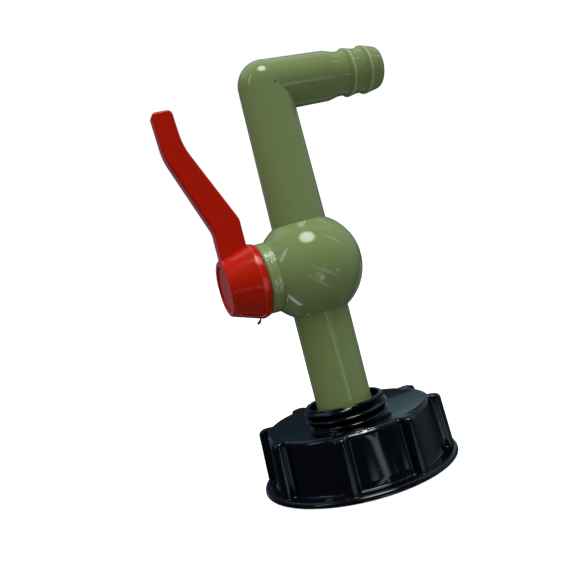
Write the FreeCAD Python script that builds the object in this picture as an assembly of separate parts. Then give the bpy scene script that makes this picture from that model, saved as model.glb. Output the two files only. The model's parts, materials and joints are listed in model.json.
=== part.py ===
import FreeCAD, Part
import math
import os

from FreeCAD import Vector

# A tap for the outlet of a bulk liquid container: a black screw cap for the
# tank's coarse thread, an olive pipe that stands in it with a ball valve half
# way up and a hose tail at its elbow, and a red lever at the valve's side.
# Millimetres, +Z up along the pipe. The origin is the centre of the cap's
# mouth, on the surface that the cap stands on. The hose tail points to +X and
# the valve's stem to -X.

# Cap: outside
FLANGE_R = 40.2
FLANGE_TOP_Z = 2.2
FLANGE_ROUND = 1.6
CAP_HEIGHT = 23.4
CAP_WALL_R_LOW = 35.0
CAP_WALL_R_TOP = 34.1
CAP_TOP_ROUND = 2.0
DISH_DEPTH = 2.9
RIB_COUNT = 8
RIB_FIRST_DEG = 17.0
RIB_WIDTH = 5.6
RIB_R_LOW = 39.0
RIB_R_TOP = 38.3
RIB_ROUND = 1.8
RIB_TOP_BEVEL = 1.5

# Cap: collar round the pipe, as wide as the crests of its coarse outside thread
COLLAR_TOP_Z = 29.2
COLLAR_R = 17.4
COLLAR_MOUTH_R = 14.5
COLLAR_MOUTH_DEPTH = 5.0
COLLAR_EDGE = 0.5

# Cap: inside. The bore is as wide as the tank's coarse thread, 60 mm across,
# with room to turn; above it is the narrower seat of the tank's gasket.
TANK_THREAD_R = 30.0
TANK_THREAD_GAP = 0.3
TANK_BORE_DEPTH = 11.0
TANK_SEAT_R = 29.8
CEILING_Z = 18.3
BOSS_R = 16.4
BOSS_FOOT_Z = 11.3
FOOT_LIP = 2.2
FOOT_LIP_R = 9.5

# Seals of the cap
TANK_GASKET_T = 3.0
TANK_GASKET_GAP = 0.1
TANK_GASKET_WIDTH = 7.2
FOOT_GASKET_T = 2.0
FOOT_GASKET_GAP = 0.4
FOOT_GASKET_WIDTH = 3.6

# Tap body: pipe, elbow and spout
VALVE_Z = 84.9
CHAMBER_R = 21.46
PIPE_R = 11.45
PIPE_R_AT_ELBOW = 10.5
PIPE_BORE_R = 8.0
FOOT_THREAD_R = 13.2
FOOT_THREAD_GAP = 0.1
FOOT_EDGE = 0.8
ELBOW_Z = 159.9
ARM_R_AT_ELBOW = 10.45
ARM_R_AT_SHOULDER = 10.1
ARM_LENGTH = 27.0
SHOULDER_ROUND = 2.0
TAIL_BORE_R = 6.0
UPPER_BORE_R = 7.5

# Hose tail, measured from the pipe's axis
TAIL_ROOT_R = 9.0
TAIL_ROOT_START = 31.5
TAIL_TIP = 51.4
TAIL_NOSE_R = 8.3
TAIL_NOSE_ROUND = 2.2
BARB_R = 9.9
BARB_COUNT = 2
BARB_FIRST = 36.0
BARB_SPACING = 7.9
BARB_RAMP = 1.1
BARB_LAND = 0.7
BARB_TAPER = 3.4
BARB_BACK_R = 9.1

# Valve neck and bonnet, measured from the pipe's axis towards -X
NECK_R = 14.15
NECK_SEAM = 16.6
NECK_FILLET = 1.4
NECK_BORE_R = 12.2
BONNET_FACE = 21.5
BONNET_EDGE = 0.5
BONNET_PLUG_GAP = 0.08
BONNET_BOSS_R = 7.0
BONNET_BOSS_FACE = 23.4
BONNET_GROOVE_DEPTH = 1.5
BONNET_SEAL_WIDTH = 1.8

# Ball and seats. The edges of a pressed ring are a share of its width.
BALL_R = 11.9
BALL_BORE_R = 7.0
BALL_SIDE_GAP = 0.3
SEAT_GAP = 0.08
SEAT_OUTER_R = 10.1
SEAT_HOLE_R = 7.4
SEAT_BACK = 12.5
SEAT_FRONT = 7.0
SEAT_POCKET_GAP = 0.1
SEAT_SEAL_SECTION = 1.7
PRESSED_EDGE_SHARE = 0.28

# Stem
STEM_R = 4.5
STEM_GAP = 0.05
STEM_FLANGE_R = 6.4
STEM_FLANGE_T = 1.4
STEM_TANG_WIDTH = 3.6
STEM_TANG_LENGTH = 9.0
STEM_TANG_GAP = 0.1
STEM_TANG_FLOOR = 1.5
THRUST_T = 0.8
THRUST_GAP = 0.1
STEM_GROOVE_DEPTH = 1.15
STEM_SEAL_WIDTH = 1.3
STEM_SEAL_FIRST = 17.0
STEM_SEAL_SPACING = 3.0
DRIVE_SQUARE = 6.4
DRIVE_START = 23.7
DRIVE_GAP = 0.05
DRIVE_CORNER_CUT = 0.3
DRIVE_END_GAP = 0.4

# Handle: hub
HUB_MOUTH = 21.9
HUB_MOUTH_R = 14.6
HUB_RIM_R = 15.3
HUB_RIM = 24.1
HUB_END = 36.6
HUB_END_R = 11.1
HUB_END_ROUND = 1.0
HUB_RIM_ROUND = 1.9
HUB_WALL = 2.0
HUB_WALL_AT_WEB = 2.3
HUB_WEB_INNER = 29.0
HUB_WEB_OUTER = 31.8
HUB_BOSS_R = 7.2
HUB_SCREW_WELL_R = 6.0
HUB_CAP_RECESS_R = 9.1
HUB_CAP_RECESS = 1.5
HUB_PANEL_DEPTH = 0.35
HUB_PANEL_WIDTH = 7.6
HUB_PANEL_LENGTH = 8.0
HUB_PANEL_MID = 29.0
HUB_PANEL_DEG = 52.0
HUB_PANEL_CORNER = 1.2

# Handle: lever, seen from the front
LEVER_T = 7.0
LEVER_ROOT_LEFT = 35.5
LEVER_ROOT_RIGHT = 24.2
LEVER_CRANK_Z = 107.2
LEVER_CRANK_RIGHT_Z = 110.2
LEVER_TIP_LEFT = 47.7
LEVER_TIP_RIGHT = 39.4
LEVER_BEND_Z = 139.2
LEVER_BEND_RIGHT_Z = 142.3
LEVER_BEND_LEFT = 47.0
LEVER_BEND_RIGHT = 38.6
LEVER_TOP_Z = 156.6
LEVER_TIP_ROUND = 2.0
LEVER_EDGE = 1.2
LEVER_BEND_ROUND = 26.0
LEVER_CRANK_ROUND = 9.0
LEVER_CRANK_RIGHT_ROUND = 5.4

# Stops that end the quarter turn, inside the hub
STOP_INNER_R = 8.6
STOP_OUTER_R = 11.2
STOP_LUG_DEG = 26.0
STOP_GAP_DEG = 1.5
STOP_HEIGHT = 3.0
STOP_FACE_GAP = 0.4
STOP_ROOT = 0.5
TURN_DEG = 90.0

# Handle screw, washer and cover disc
SCREW_R = 1.75
SCREW_LENGTH = 11.0
SCREW_HEAD_R = 3.4
SCREW_HEAD_T = 2.1
SCREW_HEAD_EDGE = 0.8
SCREW_TIP_TAPER = 0.8
SCREW_CROSS_WIDTH = 1.0
SCREW_CROSS_SPAN = 3.6
SCREW_CROSS_DEPTH = 1.2
SCREW_HOLE_GAP = 0.25
WASHER_R = 5.0
WASHER_T = 0.6
COVER_T = 1.0
COVER_GAP = 0.08
COVER_EDGE = 0.25
COVER_SPIGOT_WALL = 0.9
COVER_SPIGOT_GAP = 0.2

# How far a cut runs past the face that it opens
CUT_PAST = 1.0

Z_AXIS = Vector(0, 0, 1)
STEM_AXIS = Vector(1, 0, 0)
VALVE_CENTRE = Vector(0, 0, VALVE_Z)


def in_front(a, b):
    """A point of an outline drawn in the XZ plane."""
    return Vector(a, 0, b)


def along_stem(a, b):
    """A point of an outline given as distance towards -X and radius about the stem's axis."""
    return Vector(-a, 0, VALVE_Z + b)


def rounded_outline(corners, place):
    """A closed face from corners (a, b) or (a, b, radius), whose rounds are true arcs."""
    count = len(corners)
    ends = []
    for i, corner in enumerate(corners):
        here = Vector(corner[0], corner[1], 0)
        radius = corner[2] if len(corner) > 2 else 0.0
        if radius <= 0:
            ends.append((here, None, here))
            continue
        before = Vector(*corners[i - 1][:2], 0).sub(here).normalize()
        after = Vector(*corners[(i + 1) % count][:2], 0).sub(here).normalize()
        half = before.getAngle(after) / 2
        reach = radius / math.tan(half)
        bisector = before.add(after).normalize()
        middle = here + bisector * (radius / math.sin(half) - radius)
        ends.append((here + before * reach, middle, here + after * reach))
    edges = []
    for i, (start, middle, end) in enumerate(ends):
        if middle is not None:
            points = [place(q.x, q.y) for q in (start, middle, end)]
            edges.append(Part.Arc(*points).toShape())
        following = ends[(i + 1) % count][0]
        if end.distanceToPoint(following) > 1e-7:
            edges.append(Part.makeLine(place(end.x, end.y), place(following.x, following.y)))
    return Part.Face(Part.Wire(edges))


def turned_on_pipe(corners):
    """A solid of revolution about the pipe's axis, from (radius, height) corners."""
    return rounded_outline(corners, in_front).revolve(Vector(0, 0, 0), Z_AXIS, 360)


def turned_on_stem(corners):
    """A solid of revolution about the stem's axis, from (distance, radius) corners."""
    return rounded_outline(corners, along_stem).revolve(VALVE_CENTRE, STEM_AXIS, 360)


def turned_on_spout(corners):
    """A solid of revolution about the spout's axis, from (distance, radius) corners."""
    face = rounded_outline(corners, lambda a, b: Vector(a, 0, ELBOW_Z + b))
    return face.revolve(Vector(0, 0, ELBOW_Z), STEM_AXIS, 360)


def pipe_rod(radius, low, high):
    """A cylinder on the pipe's axis between two heights."""
    return Part.makeCylinder(radius, high - low, Vector(0, 0, low), Z_AXIS)


def stem_rod(radius, near, far):
    """A cylinder on the stem's axis between two distances towards -X."""
    return Part.makeCylinder(radius, far - near, Vector(-near, 0, VALVE_Z), -STEM_AXIS)


def stem_block(width, height, near, far):
    """A rectangular bar on the stem's axis, width along Y and height along Z."""
    corner = Vector(-far, -width / 2, VALVE_Z - height / 2)
    return Part.makeBox(far - near, width, height, corner)


def flat_ring(outer_r, inner_r, low, high):
    """A washer on the pipe's axis."""
    hole = pipe_rod(inner_r, low - CUT_PAST, high + CUT_PAST)
    return pipe_rod(outer_r, low, high).cut(hole)


def sector(inner_r, outer_r, near, far, start_deg, end_deg):
    """A part of a ring about the stem's axis. Angles run from +Z towards -Y."""
    outline = rounded_outline(
        [(near, inner_r), (far, inner_r), (far, outer_r), (near, outer_r)], along_stem
    )
    outline.rotate(VALVE_CENTRE, STEM_AXIS, start_deg)
    return outline.revolve(VALVE_CENTRE, STEM_AXIS, end_deg - start_deg)


def make_cap_shell():
    """The cap without its ribs: one revolve, wall, dished top, collar, socket and boss."""
    tank_bore_r = TANK_THREAD_R + TANK_THREAD_GAP
    dish_z = CAP_HEIGHT - DISH_DEPTH
    mouth_floor_z = COLLAR_TOP_Z - COLLAR_MOUTH_DEPTH
    socket_r = FOOT_THREAD_R + FOOT_THREAD_GAP
    lip_z = BOSS_FOOT_Z + FOOT_LIP
    return turned_on_pipe([
        (FLANGE_R, 0),
        (FLANGE_R, FLANGE_TOP_Z, FLANGE_ROUND),
        (CAP_WALL_R_LOW, FLANGE_TOP_Z),
        (CAP_WALL_R_TOP, CAP_HEIGHT, CAP_TOP_ROUND),
        (COLLAR_R, dish_z),
        (COLLAR_R, COLLAR_TOP_Z - COLLAR_EDGE),
        (COLLAR_R - COLLAR_EDGE, COLLAR_TOP_Z),
        (COLLAR_MOUTH_R, COLLAR_TOP_Z),
        (COLLAR_MOUTH_R, mouth_floor_z),
        (socket_r, mouth_floor_z),
        (socket_r, lip_z),
        (FOOT_LIP_R, lip_z),
        (FOOT_LIP_R, BOSS_FOOT_Z),
        (BOSS_R, BOSS_FOOT_Z),
        (BOSS_R, CEILING_Z),
        (TANK_SEAT_R, CEILING_Z),
        (TANK_SEAT_R, TANK_BORE_DEPTH),
        (tank_bore_r, TANK_BORE_DEPTH),
        (tank_bore_r, 0),
    ])


def make_grip_rib():
    """One upright rib of the cap's grip, leaning with the wall's draft, at the first's angle."""
    foot_z = FLANGE_TOP_Z / 2
    lean = math.atan2(RIB_R_LOW - RIB_R_TOP, CAP_HEIGHT - FLANGE_TOP_Z)
    half = RIB_WIDTH / 2
    corners = [
        (-half, CAP_WALL_R_TOP - CAP_TOP_ROUND),
        (half, CAP_WALL_R_TOP - CAP_TOP_ROUND),
        (half, RIB_R_LOW, RIB_ROUND),
        (-half, RIB_R_LOW, RIB_ROUND),
    ]
    section = rounded_outline(corners, lambda a, b: Vector(a, -b, 0))
    rib = section.extrude(Vector(0, 0, 2 * CAP_HEIGHT))
    rib.translate(Vector(0, 0, -CAP_HEIGHT))
    rib.rotate(Vector(0, -RIB_R_LOW, FLANGE_TOP_Z), STEM_AXIS, -math.degrees(lean))
    rib = rib.common(make_rib_limit(foot_z))
    rib.rotate(Vector(0, 0, 0), Z_AXIS, RIB_FIRST_DEG)
    return rib


def make_rib_limit(foot_z):
    """The room of the ribs: from inside the flange to the cap's top, with a bevelled edge."""
    inner_r = CAP_WALL_R_TOP - CAP_TOP_ROUND
    bevel_r = RIB_R_TOP - RIB_TOP_BEVEL
    return turned_on_pipe([
        (inner_r, foot_z),
        (FLANGE_R, foot_z),
        (FLANGE_R, CAP_HEIGHT - (FLANGE_R - bevel_r)),
        (bevel_r, CAP_HEIGHT),
        (inner_r, CAP_HEIGHT),
    ])


def make_adapter_cap():
    """The black cap, one moulding: flange, grip ribs, dished top, collar and boss."""
    cap = make_cap_shell()
    ribs = []
    for i in range(RIB_COUNT):
        rib = make_grip_rib()
        rib.rotate(Vector(0, 0, 0), Z_AXIS, i * 360 / RIB_COUNT)
        ribs.append(rib)
    return cap.multiFuse(ribs)


def make_tank_gasket():
    """The flat seal under the cap's ceiling that the tank's rim presses on."""
    outer_r = TANK_SEAT_R - TANK_GASKET_GAP
    inner_r = outer_r - TANK_GASKET_WIDTH
    return flat_ring(outer_r, inner_r, CEILING_Z - TANK_GASKET_T, CEILING_Z)


def make_foot_gasket():
    """The flat seal between the cap's inner lip and the tap's foot."""
    low = BOSS_FOOT_Z + FOOT_LIP
    outer_r = FOOT_THREAD_R - FOOT_GASKET_GAP
    return flat_ring(outer_r, outer_r - FOOT_GASKET_WIDTH, low, low + FOOT_GASKET_T)


def make_pipe():
    """The upright pipe with its threaded foot, up to the middle of the elbow."""
    foot_z = BOSS_FOOT_Z + FOOT_LIP + FOOT_GASKET_T
    mouth_floor_z = COLLAR_TOP_Z - COLLAR_MOUTH_DEPTH
    lower = turned_on_pipe([
        (0, foot_z),
        (FOOT_THREAD_R - FOOT_EDGE, foot_z),
        (FOOT_THREAD_R, foot_z + FOOT_EDGE),
        (FOOT_THREAD_R, mouth_floor_z),
        (PIPE_R, mouth_floor_z),
        (PIPE_R, VALVE_Z),
        (0, VALVE_Z),
    ])
    upper = Part.makeCone(PIPE_R, PIPE_R_AT_ELBOW, ELBOW_Z - VALVE_Z, VALVE_CENTRE, Z_AXIS)
    corner = Part.makeSphere(PIPE_R_AT_ELBOW, Vector(0, 0, ELBOW_Z))
    return lower.multiFuse([upper, corner])


def make_spout():
    """The spout's arm and hose tail, one revolve about its own axis."""
    corners = [
        (0, 0),
        (0, ARM_R_AT_ELBOW),
        (ARM_LENGTH, ARM_R_AT_SHOULDER, SHOULDER_ROUND),
        (TAIL_ROOT_START, TAIL_ROOT_R, SHOULDER_ROUND),
    ]
    root_r = TAIL_ROOT_R
    for i in range(BARB_COUNT):
        crest = BARB_FIRST + i * BARB_SPACING
        corners += [
            (crest - BARB_RAMP, root_r),
            (crest, BARB_R),
            (crest + BARB_LAND, BARB_R),
        ]
        if i < BARB_COUNT - 1:
            corners.append((crest + BARB_LAND + BARB_TAPER, BARB_BACK_R))
        root_r = BARB_BACK_R
    corners += [(TAIL_TIP, TAIL_NOSE_R, TAIL_NOSE_ROUND), (TAIL_TIP, 0)]
    return turned_on_spout(corners)


def make_valve_chamber():
    """The round chamber with the neck's stub and the fillet between them."""
    ball = Part.makeSphere(CHAMBER_R, VALVE_CENTRE)
    centre_r = NECK_R + NECK_FILLET
    centre_x = math.sqrt((CHAMBER_R + NECK_FILLET) ** 2 - centre_r ** 2)
    turn = math.atan2(centre_r, centre_x)
    touch = (CHAMBER_R * math.cos(turn), CHAMBER_R * math.sin(turn))
    middle_turn = (turn + math.pi / 2) / 2
    middle = (centre_x - NECK_FILLET * math.cos(middle_turn),
              centre_r - NECK_FILLET * math.sin(middle_turn))
    points = [along_stem(*touch), along_stem(*middle), along_stem(centre_x, NECK_R)]
    edges = [
        Part.Arc(*points).toShape(),
        Part.makeLine(points[2], along_stem(centre_x, 0)),
        Part.makeLine(along_stem(centre_x, 0), along_stem(touch[0], 0)),
        Part.makeLine(along_stem(touch[0], 0), points[0]),
    ]
    skirt = Part.Face(Part.Wire(edges)).revolve(VALVE_CENTRE, STEM_AXIS, 360)
    beyond = stem_rod(CHAMBER_R, NECK_SEAM, BONNET_FACE + CHAMBER_R)
    neck = skirt.fuse(stem_rod(NECK_R, 0, NECK_SEAM))
    return ball.fuse(neck).cut(beyond)


def seat_pocket(way):
    """The pocket for a seat and its seal, above the ball (way 1) or below it (way -1)."""
    pocket = Part.makeCylinder(
        SEAT_OUTER_R + SEAT_POCKET_GAP, SEAT_BACK + SEAT_SEAL_SECTION, VALVE_CENTRE,
        Z_AXIS * way
    )
    return pocket


def make_tap_body():
    """The olive tap, one moulding: pipe, valve chamber, elbow, spout and hose tail."""
    outside = make_pipe().multiFuse([make_spout(), make_valve_chamber()])
    ball_room_end = -(BALL_R + BALL_SIDE_GAP)
    hollows = [
        pipe_rod(PIPE_BORE_R, 0, VALVE_Z),
        pipe_rod(UPPER_BORE_R, VALVE_Z, ELBOW_Z),
        Part.makeSphere(UPPER_BORE_R, Vector(0, 0, ELBOW_Z)),
        Part.makeCylinder(UPPER_BORE_R, TAIL_ROOT_START, Vector(0, 0, ELBOW_Z), STEM_AXIS),
        Part.makeCylinder(TAIL_BORE_R, TAIL_TIP + CUT_PAST, Vector(0, 0, ELBOW_Z), STEM_AXIS),
        stem_rod(NECK_BORE_R, ball_room_end, NECK_SEAM + CUT_PAST),
        seat_pocket(1),
        seat_pocket(-1),
    ]
    body = outside
    for hollow in hollows:
        body = body.cut(hollow)
    return body.removeSplitter()


def make_valve_ball():
    """The ball with its bore and the slot that the stem's tang turns."""
    ball = Part.makeSphere(BALL_R, VALVE_CENTRE)
    bore = pipe_rod(BALL_BORE_R, VALVE_Z - BALL_R, VALVE_Z + BALL_R)
    gap = 2 * STEM_TANG_GAP
    slot = stem_block(STEM_TANG_WIDTH + gap, 2 * BALL_R, tang_tip() - STEM_TANG_GAP,
                      BALL_R + CUT_PAST)
    return ball.cut(bore).cut(slot)


def tang_tip():
    """How far from the pipe's axis the stem's tang ends."""
    return BALL_BORE_R + STEM_TANG_FLOOR


def flange_near():
    """Where the stem's flange begins, just outside the ball."""
    return BALL_R + BALL_SIDE_GAP


def make_seat(way):
    """A valve seat above (1) or below (-1) the ball: its cone meets the ball on a line."""
    cone_sum = (BALL_R + SEAT_GAP) * math.sqrt(2)
    corners = [
        (SEAT_HOLE_R, cone_sum - SEAT_HOLE_R),
        (cone_sum - SEAT_FRONT, SEAT_FRONT),
        (SEAT_OUTER_R, SEAT_FRONT),
        (SEAT_OUTER_R, SEAT_BACK),
        (SEAT_HOLE_R, SEAT_BACK),
    ]
    return turned_on_pipe([(r, VALVE_Z + z * way) for r, z in corners])


def pressed_ring(near, far, inner_r, outer_r):
    """Outline of a round seal ring pressed flat inside and outside: (distance, radius)."""
    middle_r = (inner_r + outer_r) / 2
    edge = (far - near) * PRESSED_EDGE_SHARE
    return [
        (near + edge, inner_r),
        (far - edge, inner_r),
        (far, middle_r),
        (far - edge, outer_r),
        (near + edge, outer_r),
        (near, middle_r),
    ]


def make_seat_seal(way):
    """The ring that presses a seat on the ball."""
    outline = pressed_ring(SEAT_OUTER_R - SEAT_SEAL_SECTION, SEAT_OUTER_R,
                           SEAT_BACK, SEAT_BACK + SEAT_SEAL_SECTION)
    return turned_on_pipe([(r, VALVE_Z + z * way) for r, z in outline])


def bonnet_groove():
    """Distance from the pipe's axis to both sides of the bonnet's seal groove."""
    middle = (flange_near() + NECK_SEAM) / 2
    return middle - BONNET_SEAL_WIDTH / 2, middle + BONNET_SEAL_WIDTH / 2


def make_bonnet():
    """The olive bonnet that closes the neck and guides the stem."""
    plug_r = NECK_BORE_R - BONNET_PLUG_GAP
    near, far = bonnet_groove()
    groove_r = NECK_BORE_R - BONNET_GROOVE_DEPTH
    room_r = STEM_FLANGE_R + 3 * STEM_GAP
    room_far = flange_near() + STEM_FLANGE_T + THRUST_T + THRUST_GAP
    stem_hole_r = STEM_R + STEM_GAP
    return turned_on_stem([
        (flange_near(), room_r),
        (flange_near(), plug_r),
        (near, plug_r),
        (near, groove_r),
        (far, groove_r),
        (far, plug_r),
        (NECK_SEAM, plug_r),
        (NECK_SEAM, NECK_R),
        (BONNET_FACE - BONNET_EDGE, NECK_R),
        (BONNET_FACE, NECK_R - BONNET_EDGE),
        (BONNET_FACE, BONNET_BOSS_R),
        (BONNET_BOSS_FACE, BONNET_BOSS_R),
        (BONNET_BOSS_FACE, stem_hole_r),
        (room_far, stem_hole_r),
        (room_far, room_r),
    ]).fuse(make_bonnet_stop())


def make_bonnet_stop():
    """The raised arc on the bonnet that leaves the handle's lug a quarter turn."""
    half_lug = STOP_LUG_DEG / 2
    start = TURN_DEG + half_lug + STOP_GAP_DEG
    end = 360 - half_lug - STOP_GAP_DEG
    return sector(STOP_INNER_R, STOP_OUTER_R, BONNET_FACE - STOP_ROOT,
                  BONNET_FACE + STOP_HEIGHT, start, end)


def make_bonnet_seal():
    """The seal ring in the bonnet's groove, pressed by the neck's bore."""
    near, far = bonnet_groove()
    slack = (far - near - BONNET_GROOVE_DEPTH) / 2
    return turned_on_stem(pressed_ring(near + slack, far - slack,
                                       NECK_BORE_R - BONNET_GROOVE_DEPTH, NECK_BORE_R))


def stem_seal_places():
    """Distances of the middles of the stem's two seal grooves."""
    return [STEM_SEAL_FIRST, STEM_SEAL_FIRST + STEM_SEAL_SPACING]


def make_stem():
    """The stem: tang, flange, shaft with two seal grooves, and square drive."""
    flange_far = flange_near() + STEM_FLANGE_T
    groove_r = STEM_R - STEM_GROOVE_DEPTH
    corners = [
        (flange_near(), 0),
        (flange_near(), STEM_FLANGE_R),
        (flange_far, STEM_FLANGE_R),
        (flange_far, STEM_R),
    ]
    half = STEM_SEAL_WIDTH / 2 + STEM_GAP
    for middle in stem_seal_places():
        corners += [
            (middle - half, STEM_R),
            (middle - half, groove_r),
            (middle + half, groove_r),
            (middle + half, STEM_R),
        ]
    corners += [(DRIVE_START, STEM_R), (DRIVE_START, 0)]
    shaft = turned_on_stem(corners)
    round_end = stem_rod(STEM_R - DRIVE_CORNER_CUT, DRIVE_START, drive_end())
    drive = stem_block(DRIVE_SQUARE, DRIVE_SQUARE, DRIVE_START, drive_end()).common(round_end)
    tang = stem_block(STEM_TANG_WIDTH, STEM_TANG_LENGTH, tang_tip(), flange_near())
    tang = tang.common(Part.makeSphere(BALL_R, VALVE_CENTRE).fuse(
        stem_rod(STEM_R, tang_tip(), flange_near())))
    pilot = stem_rod(SCREW_R, screw_tip(), drive_end() + CUT_PAST)
    return shaft.fuse(drive).fuse(tang).cut(pilot)


def drive_end():
    """The stem's outer end, just short of the hub's web face that the screw pulls on."""
    return HUB_WEB_OUTER - DRIVE_END_GAP


def screw_tip():
    """How deep the screw goes into the stem."""
    return HUB_WEB_OUTER + WASHER_T - SCREW_LENGTH


def make_stem_seal(middle):
    """One of the two seal rings on the stem, pressed by the bonnet's hole."""
    half = STEM_SEAL_WIDTH / 2
    return turned_on_stem(pressed_ring(middle - half, middle + half,
                                       STEM_R - STEM_GROOVE_DEPTH, STEM_R + STEM_GAP / 2))


def make_thrust_washer():
    """The slippery washer between the stem's flange and the bonnet."""
    near = flange_near() + STEM_FLANGE_T
    far = near + THRUST_T
    washer = stem_rod(STEM_FLANGE_R, near, far)
    return washer.cut(stem_rod(STEM_R + STEM_GAP, near - CUT_PAST, far + CUT_PAST))


def hub_radius_at(distance):
    """The hub's outside radius on its cone."""
    share = (distance - HUB_RIM) / (HUB_END - HUB_RIM)
    return HUB_RIM_R + (HUB_END_R - HUB_RIM_R) * share


def make_lever():
    """The lever's arm: a flat outline in the plane of the pipe, with softened edges."""
    corners = [
        (-LEVER_ROOT_RIGHT, VALVE_Z + STOP_INNER_R),
        (-LEVER_ROOT_RIGHT, LEVER_CRANK_RIGHT_Z, LEVER_CRANK_RIGHT_ROUND),
        (-LEVER_BEND_RIGHT, LEVER_BEND_RIGHT_Z, LEVER_BEND_ROUND),
        (-LEVER_TIP_RIGHT, LEVER_TOP_Z, LEVER_TIP_ROUND),
        (-LEVER_TIP_LEFT, LEVER_TOP_Z, LEVER_TIP_ROUND),
        (-LEVER_BEND_LEFT, LEVER_BEND_Z, LEVER_BEND_ROUND),
        (-LEVER_ROOT_LEFT, LEVER_CRANK_Z, LEVER_CRANK_ROUND),
        (-LEVER_ROOT_LEFT, VALVE_Z + STOP_INNER_R),
    ]
    face = rounded_outline(corners, lambda a, b: Vector(a, -LEVER_T / 2, b))
    arm = face.extrude(Vector(0, LEVER_T, 0))
    root_z = VALVE_Z + STOP_INNER_R
    sides = (-LEVER_T / 2, LEVER_T / 2)
    rim = [
        e for e in arm.Edges
        if any(all(abs(v.Y - side) < 1e-6 for v in e.Vertexes) for side in sides)
        and e.BoundBox.ZMax > root_z + LEVER_EDGE
    ]
    return arm.makeFillet(LEVER_EDGE, rim)


def make_hub_outside():
    """The hub's outer form: rounded rim, cone and rounded end."""
    return turned_on_stem([
        (HUB_MOUTH, 0),
        (HUB_MOUTH, HUB_MOUTH_R),
        (HUB_RIM, HUB_RIM_R, HUB_RIM_ROUND),
        (HUB_END, HUB_END_R, HUB_END_ROUND),
        (HUB_END, 0),
    ])


def make_hub_panel():
    """The shallow panel with rounded corners in the lower front of the hub."""
    half_long = HUB_PANEL_LENGTH / 2
    half_wide = HUB_PANEL_WIDTH / 2
    corners = [
        (-HUB_PANEL_MID - half_long, -half_wide, HUB_PANEL_CORNER),
        (-HUB_PANEL_MID + half_long, -half_wide, HUB_PANEL_CORNER),
        (-HUB_PANEL_MID + half_long, half_wide, HUB_PANEL_CORNER),
        (-HUB_PANEL_MID - half_long, half_wide, HUB_PANEL_CORNER),
    ]
    outline = rounded_outline(corners, lambda a, b: Vector(a, b, VALVE_Z - HUB_RIM_R))
    window = outline.extrude(Vector(0, 0, HUB_RIM_R))
    window.rotate(VALVE_CENTRE, STEM_AXIS, -(90 - HUB_PANEL_DEG))
    inner = turned_on_stem([
        (HUB_MOUTH, 0),
        (HUB_MOUTH, hub_radius_at(HUB_MOUTH) - HUB_PANEL_DEPTH),
        (HUB_END, hub_radius_at(HUB_END) - HUB_PANEL_DEPTH),
        (HUB_END, 0),
    ])
    return window.cut(inner)


def make_handle():
    """The red handle, one moulding: hollow hub with square socket, and the cranked lever."""
    outside = make_hub_outside().fuse(make_lever()).cut(make_hub_panel())
    boss_face = BONNET_BOSS_FACE + STOP_FACE_GAP
    before_mouth = HUB_MOUTH - CUT_PAST
    skirt_room = turned_on_stem([
        (before_mouth, 0),
        (before_mouth, HUB_MOUTH_R - HUB_WALL),
        (HUB_WEB_INNER, hub_radius_at(HUB_WEB_INNER) - HUB_WALL_AT_WEB),
        (HUB_WEB_INNER, HUB_BOSS_R),
        (boss_face, HUB_BOSS_R),
        (boss_face, 0),
    ])
    socket_size = DRIVE_SQUARE + 2 * DRIVE_GAP
    socket = stem_block(socket_size, socket_size, before_mouth, drive_end()).common(
        stem_rod(STEM_R, before_mouth, drive_end())
    )
    screw_hole = stem_rod(SCREW_R + SCREW_HOLE_GAP, HUB_MOUTH, HUB_END)
    well = stem_rod(HUB_SCREW_WELL_R, HUB_WEB_OUTER, HUB_END + CUT_PAST)
    recess = stem_rod(HUB_CAP_RECESS_R, HUB_END - HUB_CAP_RECESS, HUB_END + CUT_PAST)
    handle = outside
    for hollow in (skirt_room, socket, screw_hole, well, recess):
        handle = handle.cut(hollow)
    return handle.fuse(make_handle_stop()).removeSplitter()


def make_handle_stop():
    """The lug inside the hub that meets the bonnet's arc at both ends of the turn."""
    half = STOP_LUG_DEG / 2
    wall_r = hub_radius_at(HUB_WEB_INNER) - HUB_WALL
    return sector(STOP_INNER_R, wall_r, BONNET_FACE + STOP_FACE_GAP,
                  HUB_WEB_INNER + STOP_ROOT, -half, half)


def make_handle_washer():
    """The flat washer under the screw's head."""
    washer = stem_rod(WASHER_R, HUB_WEB_OUTER, HUB_WEB_OUTER + WASHER_T)
    hole = stem_rod(SCREW_R + SCREW_HOLE_GAP, HUB_WEB_OUTER - CUT_PAST, HUB_END)
    return washer.cut(hole)


def make_handle_screw():
    """The pan-head screw that holds the handle on the stem, with a cross recess."""
    under_head = HUB_WEB_OUTER + WASHER_T
    head_top = under_head + SCREW_HEAD_T
    screw = turned_on_stem([
        (screw_tip(), 0),
        (screw_tip(), SCREW_R - SCREW_TIP_TAPER),
        (screw_tip() + SCREW_TIP_TAPER, SCREW_R),
        (under_head, SCREW_R),
        (under_head, SCREW_HEAD_R),
        (head_top - SCREW_HEAD_EDGE, SCREW_HEAD_R),
        (head_top, SCREW_HEAD_R - SCREW_HEAD_EDGE),
        (head_top, 0),
    ])
    near = head_top - SCREW_CROSS_DEPTH
    far = head_top + CUT_PAST
    cross = stem_block(SCREW_CROSS_WIDTH, SCREW_CROSS_SPAN, near, far).fuse(
        stem_block(SCREW_CROSS_SPAN, SCREW_CROSS_WIDTH, near, far)
    )
    return screw.cut(cross)


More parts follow.
